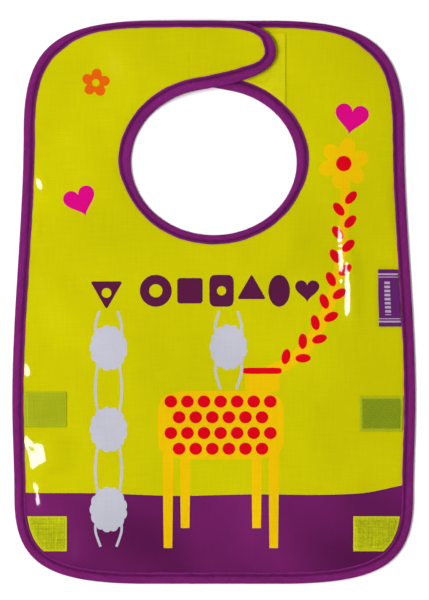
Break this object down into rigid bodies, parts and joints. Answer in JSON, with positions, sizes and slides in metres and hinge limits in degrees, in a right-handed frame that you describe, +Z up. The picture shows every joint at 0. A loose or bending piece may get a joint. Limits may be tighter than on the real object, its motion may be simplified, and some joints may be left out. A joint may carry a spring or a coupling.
{
  "type": "baby bib",
  "caption": "Flat pocket bib of laminated cotton with bound edges, overlapping hook-and-loop neck straps, fold-up crumb pocket pads and a small side label.",
  "frame": {"origin": "middle of the bib's outline, on the surface that it lies on", "axes": "+Z up out of the printed face, +Y from the hem towards the neck, +X to the right seen from above"},
  "size_m": [0.282, 0.394, 0.0069],
  "materials": {
    "printed_cotton": "glossy clear film over printed cotton",
    "printed_cotton_hem": "glossy clear film over printed cotton",
    "backing_cotton": "matte plain weave",
    "binding_tape": "matte woven tape",
    "thread": "twisted sewing thread",
    "hook_tape": "woven tape with fine nylon hooks",
    "loop_tape": "fuzzy napped loops",
    "closure_loop": "low napped loops",
    "woven_label": "satin woven tape"
  },
  "bodies": {
    "bib": {"front_panel": "printed_cotton", "backing": "backing_cotton", "edge_binding_left": "binding_tape", "edge_binding_right": "binding_tape", "neck_binding": "binding_tape", "topstitch_left": "thread", "topstitch_neck_and_right": "thread", "pocket_hook_pad_left": "hook_tape", "pocket_hook_pad_right": "hook_tape", "closure_loop_patch": "closure_loop"},
    "pocket_flap": {"front_panel_pocket": "printed_cotton_hem", "backing_pocket": "backing_cotton", "edge_binding_pocket": "binding_tape", "topstitch_pocket": "thread", "pocket_loop_pad_left": "loop_tape", "pocket_loop_pad_right": "loop_tape"},
    "neck_strap": {"front_panel_strap": "printed_cotton", "backing_strap": "backing_cotton", "edge_binding_strap": "binding_tape", "topstitch_strap": "thread", "closure_hook_patch": "hook_tape"},
    "label": {"side_label": "woven_label"}
  },
  "joints": [
    {"name": "pocket_fold", "type": "hinge", "parent": "bib", "child": "pocket_flap", "pos_m": [0, -0.11925, 0.00285], "axis": [-1, 0, 0], "range_deg": [0, 178]},
    {"name": "neck_strap_lift", "type": "hinge", "parent": "bib", "child": "neck_strap", "pos_m": [-0.01, 0.175, 0.0071], "axis": [0, -1, 0], "range_deg": [0, 170]},
    {"name": "label_flip", "type": "hinge", "parent": "bib", "child": "label", "pos_m": [0.12887, 0.003, 0.0028], "axis": [0, 1, 0], "range_deg": [0, 170]}
  ]
}
